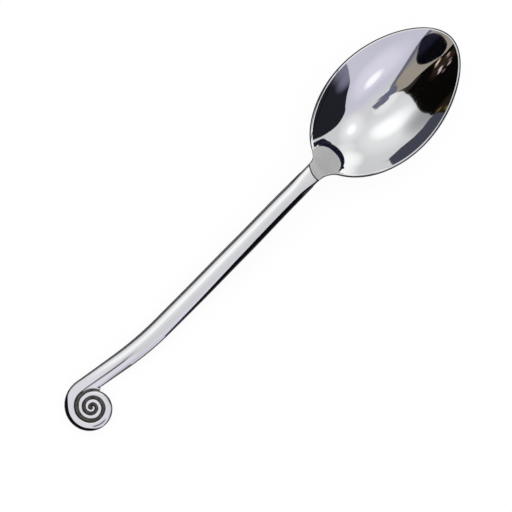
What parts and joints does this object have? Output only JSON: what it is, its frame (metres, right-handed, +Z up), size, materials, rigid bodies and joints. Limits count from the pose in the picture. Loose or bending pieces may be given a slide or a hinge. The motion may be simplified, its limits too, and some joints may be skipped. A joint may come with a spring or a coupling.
{
  "type": "table spoon",
  "caption": "Polished steel table spoon with an egg-shaped bowl, a flat tongue at the neck and a round stem that ends in a flat spiral scroll.",
  "frame": {"origin": "on the table, below the middle of the spoon's length", "axes": "+X along the spoon towards the tip of the bowl, +Z up out of the bowl, +Y to the side that the stem leans to before the scroll"},
  "size_m": [0.205, 0.044, 0.0134],
  "materials": {
    "bowl_steel": "mirror-polished stainless steel",
    "handle_steel": "mirror-polished stainless steel, darkened in the grooves of the scroll",
    "braze_metal": "silver brazing alloy"
  },
  "bodies": {
    "root": {"bowl": "bowl_steel", "handle": "handle_steel", "braze_sleeve": "braze_metal"}
  },
  "joints": []
}
